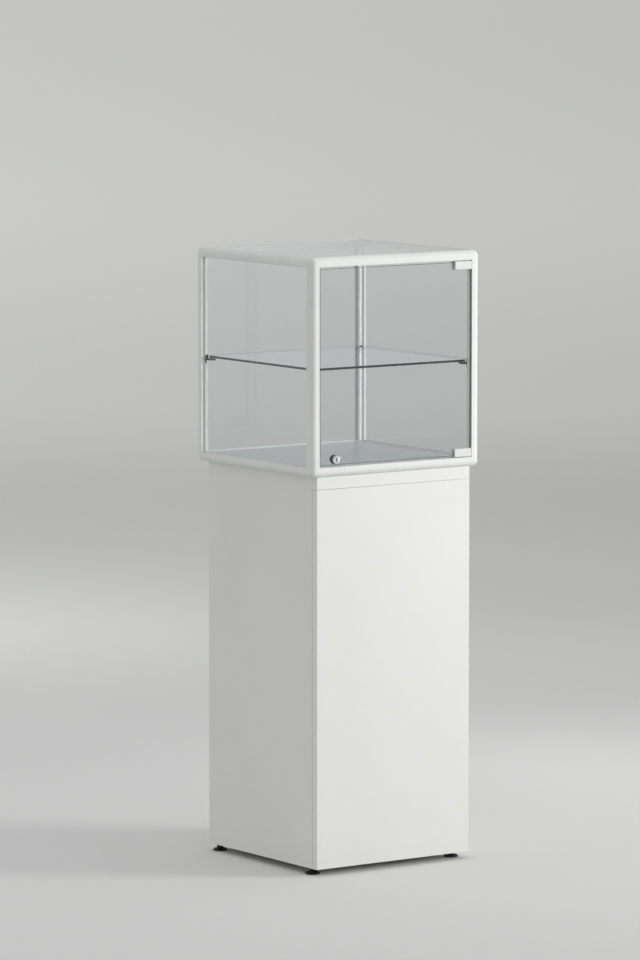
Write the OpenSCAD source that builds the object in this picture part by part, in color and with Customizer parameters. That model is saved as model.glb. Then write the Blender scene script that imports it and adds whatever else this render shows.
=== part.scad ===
// Glazed display case on a storage plinth: a square frame of rounded profile with
// five glass sides, a locking pivot door and one glass shelf, screwed down on a
// board plinth with an overlay door and four levelling feet.
// Origin on the floor under the centre of the footprint, +Z up, doors towards -Y.

/* [Overall] */
// Outer width of the glazed case
case_w = 450; // [380:5:600]
// Outer depth of the glazed case
case_d = 450; // [380:5:600]
// Height of the glazed case
case_h = 477; // [380:1:700]
// Height of the plinth without its feet
plinth_h = 861; // [600:1:1000]
// Height of the levelling feet below the plinth
foot_h = 16; // [15:1:20]

/* [Frame profile] */
// Width of the square frame profile
profile = 21; // [21:0.5:25]
// Radius of the profile's outer edge
edge_r = 12; // [8:0.5:12.5]
// Distance from the outer faces to the hollow core
core_in = 4.5; // [4:0.25:5]
// Width of the hollow core and of the corner spigots
core_w = 8.5; // [7:0.25:8.5]
// Length of a corner spigot inside its bar
spigot_l = 22; // [15:1:40]
// Play between a spigot and its core
spigot_play = 0.1; // [0.05:0.05:0.3]

/* [Glazing] */
// Thickness of the fixed panes
pane_t = 5; // [4:0.5:5]
// Distance from the frame's outer face to a side or rear pane
pane_setback = 7; // [6.5:0.25:7]
// Step of the top pane below the top of the frame
top_step = 0.5; // [0.25:0.25:1.5]
// Depth of a pane's edge in the frame
pane_bite = 5; // [4:0.25:5]
// Wall of the glazing seal on each side of a pane
seal_wall = 1.2; // [0.8:0.1:1.2]
// Seal between a pane's edge and the groove floor
seal_floor = 1; // [0.5:0.1:1]
// Height of the seal's lip that shows past the frame
seal_lip = 1.5; // [0.5:0.1:3]

/* [Case floor] */
// Step of the floor board below the top of the bottom rails
floor_step = 1; // [0.5:0.5:3]
// Depth of the floor board's tongue in the rails
tongue_d = 5; // [3:0.5:5]
// Thickness of the tongue
tongue_t = 6; // [4:0.5:6]
// Play around the floor board and its tongue
floor_play = 0.2; // [0.1:0.1:0.5]

/* [Glass door] */
// Thickness of the door glass
door_t = 5; // [4:0.5:5]
// Distance from the frame's front face to the door glass
door_setback = 2; // [1.5:0.25:3]
// Gap between the door glass and the posts
door_side_gap = 2; // [1.5:0.25:3]
// Gap between the door glass and the rails
door_rail_gap = 4.5; // [4:0.25:6]
// Distance from the right post to the pivot axis
pivot_in = 12; // [12:0.5:16]

/* [Door clamps] */
// Length of a hinge clamp along the door
clamp_l = 44; // [36:1:60]
// Height of a hinge clamp
clamp_h = 18.5; // [18:0.5:26]
// Distance from the pivot axis to the clamp's near end
clamp_end = 8; // [7:0.5:8]
// Thickness of a clamp's plates
clamp_plate = 5; // [4:0.5:5]
// Thickness of a clamp pad
pad_t = 1; // [0.5:0.1:1]
// Clearance between a clamp and its rail
clamp_gap = 1.8; // [1.2:0.1:2.2]
// Radius of the pivot pins
pin_r = 2.5; // [2:0.1:2.5]
// Length of a pivot pin inside its rail
pin_bite = 6.5; // [5:0.5:6.5]
// Outer radius of a pivot bush
bush_r = 3.5; // [3.2:0.1:3.7]
// Length of a pivot bush
bush_l = 7; // [6.5:0.25:7]
// Radial clearance of the running fits
run_fit = 0.05; // [0.02:0.01:0.1]
// Radius of a grub screw
grub_r = 2; // [1.5:0.25:2.5]

/* [Door lock] */
// Distance from the left post to the lock's axis
lock_in = 43.5; // [30:0.5:80]
// Height of the lock's axis above the bottom rail
lock_up = 16; // [16:0.5:18]
// Radius of the lock's rosette
rosette_r = 9.25; // [8:0.25:9.5]
// Thickness of the rosette
rosette_t = 4.5; // [3:0.25:6]
// Radius of the lock's barrel
barrel_r = 7; // [6:0.25:7.25]
// Radius of the turning plug
plug_r = 5; // [4:0.25:5]
// Radius of the ring nut
nut_r = 10; // [9:0.25:11]
// Thickness of the ring nut
nut_t = 6; // [4:0.5:7]
// Distance from the door glass to the cam
cam_back = 9.5; // [9:0.25:10]
// Reach of the cam from the lock's axis
cam_l = 22; // [20:0.5:22.5]
// Width of the cam
cam_w = 11; // [9:0.5:13]
// Thickness of the cam
cam_t = 2; // [1.5:0.25:2.5]
// Clearance of the cam in its keeper slot
keeper_play = 0.75; // [0.5:0.05:1]

/* [Door stops] */
// Length of a door stop
stop_l = 16; // [10:1:30]
// Distance that a stop stands out from the post
stop_out = 6; // [4:0.5:8]
// Thickness of a door stop
stop_t = 4; // [3:0.5:6]
// Distance of a stop from the rails
stop_in = 60; // [40:5:120]
// Gap between the closed door and its stops
stop_gap = 0.3; // [0.2:0.1:0.5]

/* [Glass shelf] */
// Height of the shelf's top above the case's base
shelf_up = 235; // [120:1:340]
// Thickness of the shelf
shelf_t = 5; // [4:0.5:8]
// Gap between the shelf and the posts' inner corners
shelf_gap = 2.5; // [2.5:0.25:4]
// Bevel across the shelf's corners
shelf_bevel = 2; // [1:0.5:5]
// Thickness of a shelf support's plate
support_t = 2; // [1.5:0.25:2]
// Part of a support that is fixed on the post
support_foot = 7; // [6:0.25:7]
// Reach of a support past the post
support_reach = 10; // [9:0.5:16]
// Depth of a support's ledge
ledge_d = 16; // [12:0.5:24]
// Thickness of a support's ledge
ledge_t = 4; // [3:0.25:5]
// Height of the support's plate above the shelf's top
plate_above = 2; // [0.5:0.5:6]
// Height of the support's plate below the ledge
plate_below = 6; // [5:0.5:12]
// Radius of a support screw
support_screw_r = 1.5; // [1.25:0.25:1.75]
// Length of a support screw
support_screw_l = 7; // [5:0.5:7]

/* [Plinth] */
// Step of the plinth's sides and back inside the case
plinth_in = 20; // [10:1:40]
// Step of the plinth's front inside the case
front_in = 9; // [4:0.5:12]
// Thickness of the plinth's boards
board = 18; // [16:0.5:22]
// Thickness of the plinth's door
front_t = 18; // [16:0.5:22]
// Gap between the plinth's door and its carcass
front_gap = 1.2; // [1.2:0.1:2]
// Height of the strip above the plinth's door
strip_h = 27.5; // [24:0.5:60]
// Gap between the strip and the plinth's door
strip_gap = 0.5; // [0.4:0.1:3]
// Chamfer of the door's and strip's edges
front_chamfer = 0.8; // [0.4:0.1:1.2]
// Radius of a dowel
dowel_r = 4; // [3:0.5:4]
// Length of a dowel
dowel_l = 30; // [24:1:34]

/* [Plinth door pivots] */
// Distance from the door's edge to its pivot axis
front_pivot_in = 5; // [4.5:0.1:5]
// Distance from the door's front face to its pivot axis
front_pivot_face = 5; // [5:0.1:5.4]
// Radius of the plinth door's pivot pins
front_pin_r = 2; // [1.5:0.25:2]
// Width of the bottom pivot plate's tongue
tongue_w = 7; // [6:0.5:7]
// Depth of the bottom pivot plate under the carcass
plate_w = 12; // [9:0.5:12]
// Length of the bottom pivot plate across the carcass
plate_l = 45; // [35:1:70]
// Thickness of the bottom pivot plate
plate_t = 2; // [1.5:0.25:2.5]

/* [Push latch] */
// Width of the latch's housing
latch_w = 22; // [18:1:30]
// Length of the latch's housing
latch_l = 60; // [45:1:90]
// Radius of the latch's plunger
plunger_r = 4; // [3:0.25:5]
// Travel of the plunger
plunger_travel = 3; // [2:0.5:4]
// Gap between the plunger and the closed door
plunger_gap = 0.3; // [0.2:0.1:0.5]

/* [Levelling feet] */
// Radius of a foot's disc
foot_r = 16; // [12:0.5:18]
// Thickness of a foot's disc
disc_t = 6; // [4:0.5:7]
// Radius of a foot's hub
hub_r = 7.25; // [6:0.25:9]
// Clearance between the hub and the plinth
hub_gap = 3; // [3:0.25:4]
// Radius of a foot's stud
stud_r = 4; // [3:0.5:4]
// Radius of the stud's insert
insert_r = 7; // [6:0.25:8]
// Distance of the feet from the plinth's sides and back
foot_in = 17.5; // [17.5:0.5:40]
// Distance of the front feet from the front of the carcass
foot_front = 23; // [23:0.5:60]

/* [Hidden] */
$fn = 64;

// Levels
base_z = foot_h + plinth_h;
top_z = base_z + case_h;
sill_z = base_z + profile;
head_z = top_z - profile;
floor_z = sill_z - floor_step;

// Half sizes of the case and of the openings between its bars
hw = case_w / 2;
hd = case_d / 2;
iw = hw - profile;
id = hd - profile;
ih = head_z - sill_z;

// Glazing
groove_d = pane_bite + seal_floor;
pane_in = pane_setback + pane_t / 2;
top_pane_z = top_z - top_step - pane_t;
rebate_z = top_pane_z - seal_wall;

// Glass door
door_w = 2 * iw - 2 * door_side_gap;
door_h = ih - 2 * door_rail_gap;
door_y = -hd + door_setback + door_t / 2;
pivot_x = iw - pivot_in;
web_t = door_rail_gap - clamp_gap;
slot_t = door_t + 2 * pad_t;
clamp_t = slot_t + 2 * clamp_plate;

// Lock
lock_x = -iw + lock_in;
lock_z = sill_z + lock_up;
cam_y = door_y + door_t / 2 + cam_back;
square_w = 1.2 * plug_r;
key_w = 0.36 * plug_r;
key_h = 1.6 * plug_r;
cam_r = norm([cam_l, cam_w / 4]);

// Shelf
shelf_z = base_z + shelf_up;
ledge_z = shelf_z - shelf_t - pad_t;

// Plinth
pw = hw - plinth_in;
back_y = hd - plinth_in;
front_y = -hd + front_in;
strip_t = front_t + front_gap;
carcass_y = front_y + strip_t;
carcass_d = back_y - carcass_y;
front_top = base_z - strip_h - strip_gap;
front_axis = [pw - front_pivot_in, front_y + front_pivot_face];
plate_y = carcass_y + 2;

// Push latch under the plinth's top board
latch_x = -pw + board + 6 + latch_w / 2;
latch_back = 4;
latch_wall = 3;
plunger_z = front_top - plunger_r - latch_wall;
plunger_l = 0.4 * latch_l;

// Screws from the plinth's top board up into the case's floor board
case_screw_r = 2.5;
case_screw_up = 12;

// Feet
foot_x = pw - foot_in;
foot_ys = [carcass_y + foot_front, back_y - foot_in];
stud_top = foot_h + board - hub_gap;

// ---------- helpers ----------

module both_x() { children(); mirror([1, 0, 0]) children(); }
module both_y() { children(); mirror([0, 1, 0]) children(); }

// A box from its lowest to its highest corner
module span(low, high) { translate(low) cube(high - low); }

// ---------- frame bars ----------

// Cross-section of a bar, its rounded outer corner at the origin
module bar_outline() {
    intersection() {
        translate([edge_r, edge_r]) circle(edge_r);
        square(edge_r);
    }
    translate([edge_r, 0]) square([profile - edge_r, profile]);
    translate([0, edge_r]) square([edge_r, profile - edge_r]);
}

module bar(length) {
    linear_extrude(length) difference() {
        bar_outline();
        translate([core_in, core_in]) square(core_w);
    }
}

// Bars along X and Y at the case's low front left edges
module bar_x(length) { translate([-length / 2, 0, 0]) rotate([90, 0, 90]) bar(length); }
module bar_y(length) { translate([0, length / 2, 0]) rotate([90, 0, 0]) bar(length); }

// Grooves for the seals of the side and rear panes, and the rebate under the top pane
module glazing_grooves() {
    gi = pane_setback - seal_wall;
    go = pane_setback + pane_t + seal_wall;
    both_x() span([-hw + gi, -id - groove_d, sill_z - groove_d],
                  [-hw + go, id + groove_d, head_z + groove_d]);
    span([-iw - groove_d, hd - go, sill_z - groove_d],
         [iw + groove_d, hd - gi, head_z + groove_d]);
    span([-iw - groove_d, -id - groove_d, rebate_z], [iw + groove_d, id + groove_d, top_z + 1]);
}

module front_left_post() {
    difference() {
        translate([-hw, -hd, sill_z]) bar(ih);
        glazing_grooves();
        support_screw_holes();
    }
}

module rear_left_post() {
    difference() {
        translate([-hw, hd, sill_z]) mirror([0, 1, 0]) bar(ih);
        glazing_grooves();
        support_screw_holes();
    }
}

// Groove in the bottom rails for the floor board's tongue
module floor_groove() {
    z = floor_z - tongue_t - 2 * floor_play - profile / 3;
    span([-iw - tongue_d - floor_play, -id - tongue_d - floor_play, z],
         [iw + tongue_d + floor_play, id + tongue_d + floor_play, z + tongue_t + 2 * floor_play]);
}

module bottom_front_rail() {
    difference() {
        translate([0, -hd, base_z]) bar_x(2 * iw);
        floor_groove();
        bush_bores();
        keeper_slot();
    }
}

module bottom_rear_rail() {
    difference() {
        translate([0, hd, base_z]) mirror([0, 1, 0]) bar_x(2 * iw);
        glazing_grooves();
        floor_groove();
    }
}

module bottom_left_rail() {
    difference() {
        translate([-hw, 0, base_z]) bar_y(2 * id);
        glazing_grooves();
        floor_groove();
    }
}

module top_front_rail() {
    difference() {
        translate([0, -hd, top_z]) mirror([0, 0, 1]) bar_x(2 * iw);
        glazing_grooves();
        bush_bores();
    }
}

module top_rear_rail() {
    difference() {
        translate([0, hd, top_z]) mirror([0, 1, 0]) mirror([0, 0, 1]) bar_x(2 * iw);
        glazing_grooves();
    }
}

module top_left_rail() {
    difference() {
        translate([-hw, 0, top_z]) mirror([0, 0, 1]) bar_y(2 * id);
        glazing_grooves();
    }
}

// ---------- corner connectors ----------

// Block with a ball-rounded outer corner at the origin
module corner_block() {
    translate([edge_r, edge_r, 0]) rotate([0, 0, 180]) rotate_extrude(angle = 90) {
        intersection() {
            translate([0, edge_r]) circle(edge_r);
            square(edge_r);
        }
        translate([0, edge_r]) square([edge_r, profile - edge_r]);
    }
    translate([edge_r, 0, 0]) rotate([90, 0, 90]) linear_extrude(profile - edge_r) bar_outline();
    translate([0, profile, 0]) rotate([90, 0, 0]) linear_extrude(profile - edge_r)
        intersection() { bar_outline(); square([edge_r, profile]); }
}

module connector() {
    s = core_in + spigot_play;
    w = core_w - 2 * spigot_play;
    corner_block();
    translate([s, s, profile]) cube([w, w, spigot_l]);
    translate([s, profile, s]) cube([w, spigot_l, w]);
    translate([profile, s, s]) cube([spigot_l, w, w]);
}

module bottom_connectors() {
    difference() {
        both_x() both_y() translate([-hw, -hd, base_z]) connector();
        glazing_grooves();
    }
}

module top_connectors() {
    difference() {
        both_x() both_y() translate([-hw, -hd, top_z]) mirror([0, 0, 1]) connector();
        glazing_grooves();
    }
}

// ---------- fixed glazing ----------

module side_pane() {
    span([-hw + pane_setback, -id - pane_bite, sill_z - pane_bite],
         [-hw + pane_setback + pane_t, id + pane_bite, head_z + pane_bite]);
}

module rear_pane() {
    span([-iw - pane_bite, hd - pane_setback - pane_t, sill_z - pane_bite],
         [iw + pane_bite, hd - pane_setback, head_z + pane_bite]);
}

module top_pane() {
    span([-iw - pane_bite, -id - pane_bite, top_pane_z],
         [iw + pane_bite, id + pane_bite, top_pane_z + pane_t]);
}

// Seal ring of a pane that lies flat on XY, a by b between the bars
module seal(a, b) {
    t = pane_t + 2 * seal_wall;
    difference() {
        cube([a + 2 * groove_d, b + 2 * groove_d, t], center = true);
        cube([a - 2 * seal_lip, b - 2 * seal_lip, t + 1], center = true);
        cube([a + 2 * pane_bite, b + 2 * pane_bite, pane_t], center = true);
    }
}

module side_seal() {
    translate([-hw + pane_in, 0, (sill_z + head_z) / 2]) rotate([0, 90, 0]) seal(ih, 2 * id);
}

module rear_seal() {
    translate([0, hd - pane_in, (sill_z + head_z) / 2]) rotate([90, 0, 0]) seal(2 * iw, ih);
}

// Seal on the rebate's ledge and round the edge of the top pane
module top_seal() {
    difference() {
        span([-iw - groove_d, -id - groove_d, rebate_z],
             [iw + groove_d, id + groove_d, top_pane_z + pane_t]);
        span([-iw - pane_bite, -id - pane_bite, top_pane_z],
             [iw + pane_bite, id + pane_bite, top_z]);
        span([-iw + seal_lip, -id + seal_lip, rebate_z - 1], [iw - seal_lip, id - seal_lip, top_z]);
    }
}

module floor_board() {
    z = floor_z - tongue_t - floor_play - profile / 3;
    span([-iw + floor_play, -id + floor_play, base_z], [iw - floor_play, id - floor_play, floor_z]);
    span([-iw - tongue_d, -id + edge_r, z], [iw + tongue_d, id - edge_r, z + tongue_t]);
    span([-iw + edge_r, -id - tongue_d, z], [iw - edge_r, id + tongue_d, z + tongue_t]);
}

// ---------- glass door ----------

module door_pane() {
    difference() {
        translate([-door_w / 2, door_y - door_t / 2, sill_z + door_rail_gap])
            cube([door_w, door_t, door_h]);
        translate([lock_x, door_y, lock_z]) rotate([90, 0, 0])
            cylinder(r = barrel_r, h = 2 * door_t, center = true);
    }
}

// Section of a clamp in the YZ plane, its web at the top and the pivot at y = 0
module clamp_section() {
    c = clamp_plate / 4;
    h = clamp_h;
    difference() {
        polygon([[-clamp_t / 2, c], [-clamp_t / 2 + c, 0], [clamp_t / 2 - c, 0],
                 [clamp_t / 2, c], [clamp_t / 2, h - c], [clamp_t / 2 - c, h],
                 [-clamp_t / 2 + c, h], [-clamp_t / 2, h - c]]);
        translate([-slot_t / 2, -1]) square([slot_t, h - web_t + 1]);
    }
}

// Hinge clamp at the origin of its pivot, with its web's top at z = 0
module clamp() {
    difference() {
        translate([clamp_end - clamp_l, 0, -clamp_h]) rotate([90, 0, 90])
            linear_extrude(clamp_l) clamp_section();
        translate([0, 0, -web_t - 1]) cylinder(r = pin_r, h = web_t + 2);
        grub_places() cylinder(r = grub_r, h = clamp_plate + 1);
    }
}

module grub_places() {
    for (x = [-0.25, -0.75])
        translate([clamp_end + x * clamp_l, slot_t / 2, -(web_t + clamp_h) / 2])
            rotate([-90, 0, 0]) children();
}

// Puts what is made for a clamp at the upper or the lower hinge
module at_upper() { translate([pivot_x, door_y, head_z - clamp_gap]) children(); }
module at_lower() { translate([pivot_x, door_y, sill_z + clamp_gap]) mirror([0, 0, 1]) children(); }

module clamp_pads() {
    h = clamp_h - web_t;
    for (y = [-slot_t / 2, door_t / 2])
        translate([clamp_end - clamp_l + 1, y, -clamp_h]) cube([clamp_l - 2, pad_t, h]);
}

module grub_screws() {
    grub_places() difference() {
        cylinder(r = grub_r, h = clamp_plate - 0.5);
        translate([0, 0, clamp_plate - 2]) cylinder(r = grub_r / 2, h = 3, $fn = 6);
    }
}

module pivot_pin() {
    translate([0, 0, -web_t]) cylinder(r = pin_r, h = web_t + clamp_gap + pin_bite);
}

module pivot_bush() {
    translate([0, 0, clamp_gap]) difference() {
        cylinder(r = bush_r, h = bush_l);
        translate([0, 0, -1]) cylinder(r = pin_r + run_fit, h = bush_l + 2);
    }
}

// Flange under the lower clamp that carries the door
module thrust_washer() {
    translate([0, 0, 0.1]) difference() {
        cylinder(r = bush_r + 1, h = clamp_gap - 0.1);
        translate([0, 0, -1]) cylinder(r = pin_r + run_fit, h = clamp_gap + 2);
    }
}

module bush_bores() {
    at_upper() translate([0, 0, clamp_gap - 1]) cylinder(r = bush_r, h = bush_l + 1);
    at_lower() translate([0, 0, clamp_gap - 1]) cylinder(r = bush_r, h = bush_l + 1);
}

// ---------- door lock ----------

// Lock's own frame: its axis along +Z into the case, the glass front at z = 0
module at_lock() {
    translate([lock_x, door_y - door_t / 2, lock_z]) rotate([-90, 0, 0]) children();
}

module lock_body() {
    b = door_t + cam_back - run_fit;
    c = rosette_t / 4;
    rotate_extrude() polygon([
        [plug_r + run_fit, -rosette_t], [rosette_r - c, -rosette_t],
        [rosette_r, -rosette_t + c], [rosette_r, 0], [barrel_r, 0],
        [barrel_r, b], [plug_r + run_fit, b]
    ]);
}

module ring_nut() {
    difference() {
        cylinder(r = nut_r, h = nut_t);
        translate([0, 0, -1]) cylinder(r = barrel_r, h = nut_t + 2);
        for (a = [0 : 30 : 330])
            rotate([0, 0, a]) translate([nut_r, 0, -1]) cylinder(r = nut_r / 10, h = nut_t + 2);
    }
}

module plug() {
    difference() {
        union() {
            translate([0, 0, -rosette_t]) cylinder(r = plug_r, h = rosette_t + door_t + cam_back);
            translate([-square_w / 2, -square_w / 2, door_t + cam_back])
                cube([square_w, square_w, cam_t]);
        }
        translate([-key_w / 2, -key_h / 2, -rosette_t - 1]) cube([key_w, key_h, 9]);
        translate([0, 0, door_t + cam_back + cam_t - 7]) cylinder(r = 1.25, h = 8);
    }
}

// The cam lies level and points away from the post when the lock is open
module cam() {
    translate([0, 0, door_t + cam_back]) difference() {
        linear_extrude(cam_t) difference() {
            union() {
                circle(cam_w / 2 + 1);
                translate([0, -cam_w / 2]) square([cam_l - cam_w / 4, cam_w]);
                translate([0, -cam_w / 4]) square([cam_l, cam_w / 2]);
            }
            square([square_w, square_w], center = true);
        }
    }
}

module cam_screw() {
    translate([0, 0, door_t + cam_back + cam_t]) {
        difference() {
            cylinder(r = square_w / 2 + 1.2, h = 1.8);
            translate([-5, -0.4, 1]) cube([10, 0.8, 1]);
        }
        translate([0, 0, -6]) cylinder(r = 1.25, h = 6.5);
    }
}

// Slot in the bottom rail that the cam sweeps down into from the right
module keeper_slot() {
    sweep = sqrt(cam_r * cam_r - lock_up * lock_up);
    span([lock_x - cam_w / 2 - keeper_play, cam_y - keeper_play, lock_z - cam_r - keeper_play],
         [lock_x + sweep + keeper_play, cam_y + cam_t + keeper_play, sill_z + 1]);
}

module stops() {
    y = door_y + door_t / 2 + stop_gap;
    for (z = [sill_z + stop_in, head_z - stop_in])
        span([-iw, y, z - stop_l / 2], [-iw + stop_out, y + stop_t, z + stop_l / 2]);
}

// ---------- shelf ----------

module shelf_plate() {
    w = iw - shelf_gap;
    d = id - shelf_gap;
    c = shelf_bevel;
    translate([0, 0, shelf_z - shelf_t]) linear_extrude(shelf_t) polygon([
        [-w + c, -d], [w - c, -d], [w, -d + c], [w, d - c],
        [w - c, d], [-w + c, d], [-w, d - c], [-w, -d + c]
    ]);
}

// Support at a post's inner edge: x runs along the shelf, y away from the post's face
module support() {
    low = ledge_z - ledge_t;
    difference() {
        union() {
            span([-support_foot, 0, low], [support_reach, ledge_d, ledge_z]);
            span([-support_foot, 0, low - plate_below], [0, support_t, shelf_z + plate_above]);
        }
        translate([-support_foot / 2, -1, low - plate_below / 2]) rotate([-90, 0, 0])
            cylinder(r = support_screw_r, h = support_t + 2);
    }
}

module support_pad() {
    r = shelf_gap + 0.5;
    span([r, r, ledge_z], [support_reach - 0.5, ledge_d - 0.5, ledge_z + pad_t]);
}

module support_screw() {
    z = ledge_z - ledge_t - plate_below / 2;
    translate([-support_foot / 2, support_t, z]) rotate([90, 0, 0]) {
        cylinder(r = support_screw_r, h = support_screw_l);
        translate([0, 0, -1.4]) difference() {
            cylinder(r = 1.8 * support_screw_r, h = 1.4);
            translate([0, 0, -0.5]) cylinder(r = support_screw_r / 2, h = 1.3, $fn = 6);
        }
    }
}

// Supports sit on the posts' faces that look along Y
module at_supports() {
    both_x() both_y() translate([-iw, -id, 0]) children();
}

module support_screw_holes() {
    at_supports() translate([-support_foot / 2, 0, ledge_z - ledge_t - plate_below / 2])
        rotate([90, 0, 0]) translate([0, 0, -1]) cylinder(r = support_screw_r, h = support_screw_l);
}

// ---------- plinth ----------

module left_side() {
    difference() {
        span([-pw, carcass_y, foot_h + board], [-pw + board, back_y, base_z]);
        dowels();
    }
}

module back_board() {
    difference() {
        span([-pw + board, back_y - board, foot_h + board], [pw - board, back_y, base_z - board]);
        dowels();
    }
}

module top_board() {
    difference() {
        span([-pw + board, carcass_y, base_z - board], [pw - board, back_y, base_z]);
        dowels();
        case_screw_places() cylinder(r = case_screw_r, h = board + 2);
    }
}

module bottom_board() {
    difference() {
        span([-pw, carcass_y, foot_h], [pw, back_y, foot_h + board]);
        dowels();
        insert_places() cylinder(r = insert_r, h = board + 2);
        pivot_plate_outline();
        pivot_screw_places() cylinder(r = 1.5, h = 14);
    }
}

// Upright panel with chamfered front edges, z from low to high
module front_panel(low, high, t) {
    c = front_chamfer;
    translate([0, 0, low]) linear_extrude(high - low) polygon([
        [-pw, front_y + c], [-pw + c, front_y], [pw - c, front_y], [pw, front_y + c],
        [pw, front_y + t], [-pw, front_y + t]
    ]);
}

module strip() {
    difference() {
        front_panel(base_z - strip_h, base_z, strip_t);
        dowels();
        translate([front_axis[0], front_axis[1], base_z - strip_h - 1])
            cylinder(r = front_pin_r + run_fit, h = 11);
    }
}

module front_door() {
    difference() {
        front_panel(foot_h, front_top, front_t);
        translate([front_axis[0], front_axis[1], front_top - 20]) cylinder(r = front_pin_r, h = 21);
        translate([front_axis[0], front_axis[1], foot_h - 1]) cylinder(r = front_pin_r + run_fit, h = 17);
        span([front_axis[0] - tongue_w / 2 - 0.2, front_axis[1] - tongue_w / 2 - 0.7, foot_h - 1],
             [pw + 1, front_y + front_t + 1, foot_h + plate_t + 0.5]);
    }
}

module top_pivot_pin() {
    translate([front_axis[0], front_axis[1], front_top - 20])
        cylinder(r = front_pin_r, h = 20 + strip_gap + 9);
}

module pivot_plate_outline() {
    translate([front_axis[0], front_axis[1], foot_h]) linear_extrude(plate_t) {
        circle(tongue_w / 2);
        translate([-tongue_w / 2, 0]) square([tongue_w, plate_y - front_axis[1] + plate_w]);
        translate([tongue_w / 2 - plate_l, plate_y - front_axis[1]]) square([plate_l, plate_w]);
    }
}

module pivot_plate() {
    difference() {
        union() {
            pivot_plate_outline();
            translate([front_axis[0], front_axis[1], foot_h]) cylinder(r = front_pin_r, h = 14);
        }
        pivot_screw_places() cylinder(r = 1.5, h = plate_t + 2);
    }
}

module pivot_screw_places() {
    for (x = [0.35, 0.85])
        translate([front_axis[0] + tongue_w / 2 - x * plate_l, plate_y + plate_w / 2, foot_h - 1])
            children();
}

module pivot_screws() {
    pivot_screw_places() translate([0, 0, 1 - 1.2]) {
        cylinder(r = 2.8, h = 1.2);
        cylinder(r = 1.5, h = 13);
    }
}

// Dowels between the boards
module dowel(axis) {
    rotate(axis == "x" ? [0, 90, 0] : axis == "y" ? [90, 0, 0] : [0, 0, 0])
        cylinder(r = dowel_r, h = dowel_l, center = true);
}

module dowels() {
    xs = pw - board;
    ends = [carcass_y + 60, back_y - 60];
    both_x() for (y = ends) {
        translate([-xs, y, base_z - board / 2]) dowel("x");
        translate([-pw + board / 2, y, foot_h + board]) dowel("z");
    }
    both_x() for (z = [foot_h + 120, base_z - 120])
        translate([-xs, back_y - board / 2, z]) dowel("x");
    both_x() translate([-0.7 * xs, carcass_y, base_z - board / 2]) dowel("y");
}

module case_screw_places() {
    both_x() both_y() translate([-0.6 * iw, -0.6 * id, base_z - board - 1]) children();
}

module case_screw_set() {
    case_screw_places() translate([0, 0, 1]) {
        cylinder(r = case_screw_r, h = board + case_screw_up);
        translate([0, 0, -3]) difference() {
            cylinder(r = 1.9 * case_screw_r, h = 3);
            translate([0, 0, -1]) cylinder(r = 1.6, h = 3, $fn = 6);
        }
    }
}

// ---------- push latch ----------

// Latch's own frame: +Z into the cupboard along the plunger, +X to the right, +Y down
module at_latch() {
    translate([latch_x, carcass_y + latch_back, plunger_z]) rotate([-90, 0, 0]) children();
}

module latch_case() {
    low = plunger_r + latch_wall;
    top = base_z - board - plunger_z;
    at_latch() difference() {
        translate([-latch_w / 2, -top, 0]) cube([latch_w, top + low, latch_l]);
        translate([0, 0, -1])
            cylinder(r = plunger_r + run_fit, h = plunger_l + plunger_travel + 2);
    }
}

module plunger() {
    front = plunger_gap - latch_back - front_gap;
    at_latch() translate([0, 0, front]) cylinder(r = plunger_r, h = plunger_l - front);
}

// ---------- feet ----------

module insert_places() {
    both_x() for (y = foot_ys) translate([-foot_x, y, foot_h - 1]) children();
}

module inserts() {
    insert_places() translate([0, 0, 1]) difference() {
        cylinder(r = insert_r, h = board);
        translate([0, 0, -1]) cylinder(r = stud_r + run_fit, h = board + 2);
    }
}

module foot(x, y) {
    hub_top = foot_h - hub_gap;
    translate([x, y, 0]) rotate_extrude() polygon([
        [0, 0], [foot_r - 1, 0], [foot_r, 1], [foot_r, disc_t * 0.55],
        [foot_r * 0.8, disc_t * 0.9], [hub_r + 1, disc_t], [hub_r, disc_t + 1],
        [hub_r, hub_top], [stud_r, hub_top], [stud_r, stud_top], [0, stud_top]
    ]);
}

// ---------- named nodes ----------

frame_white = "#e4e5e3";
glass_tint = [0.72, 0.80, 0.79, 0.35];
seal_grey = "#c4c7c6";
tip_dark = "#2b2d2e";
steel = "#b4b6b8";
board_white = "#e8e8e4";
floor_grey = "#c6cac9";
black = "#17181a";

module post_front_left() { color(frame_white) front_left_post(); }
module post_front_right() { color(frame_white) mirror([1, 0, 0]) front_left_post(); }
module post_rear_left() { color(frame_white) rear_left_post(); }
module post_rear_right() { color(frame_white) mirror([1, 0, 0]) rear_left_post(); }
module rail_bottom_front() { color(frame_white) bottom_front_rail(); }
module rail_bottom_rear() { color(frame_white) bottom_rear_rail(); }
module rail_bottom_left() { color(frame_white) bottom_left_rail(); }
module rail_bottom_right() { color(frame_white) mirror([1, 0, 0]) bottom_left_rail(); }
module rail_top_front() { color(frame_white) top_front_rail(); }
module rail_top_rear() { color(frame_white) top_rear_rail(); }
module rail_top_left() { color(frame_white) top_left_rail(); }
module rail_top_right() { color(frame_white) mirror([1, 0, 0]) top_left_rail(); }
module corner_connectors_top() { color(frame_white) top_connectors(); }
module corner_connectors_bottom() { color(frame_white) bottom_connectors(); }
module pane_left() { color(glass_tint) side_pane(); }
module pane_right() { color(glass_tint) mirror([1, 0, 0]) side_pane(); }
module pane_rear() { color(glass_tint) rear_pane(); }
module pane_top() { color(glass_tint) top_pane(); }
module seal_left() { color(seal_grey) side_seal(); }
module seal_right() { color(seal_grey) mirror([1, 0, 0]) side_seal(); }
module seal_rear() { color(seal_grey) rear_seal(); }
module seal_top() { color(seal_grey) top_seal(); }
module case_floor() {
    color(floor_grey) difference() {
        floor_board();
        case_screw_places() cylinder(r = case_screw_r, h = board + case_screw_up + 1);
    }
}
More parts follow.
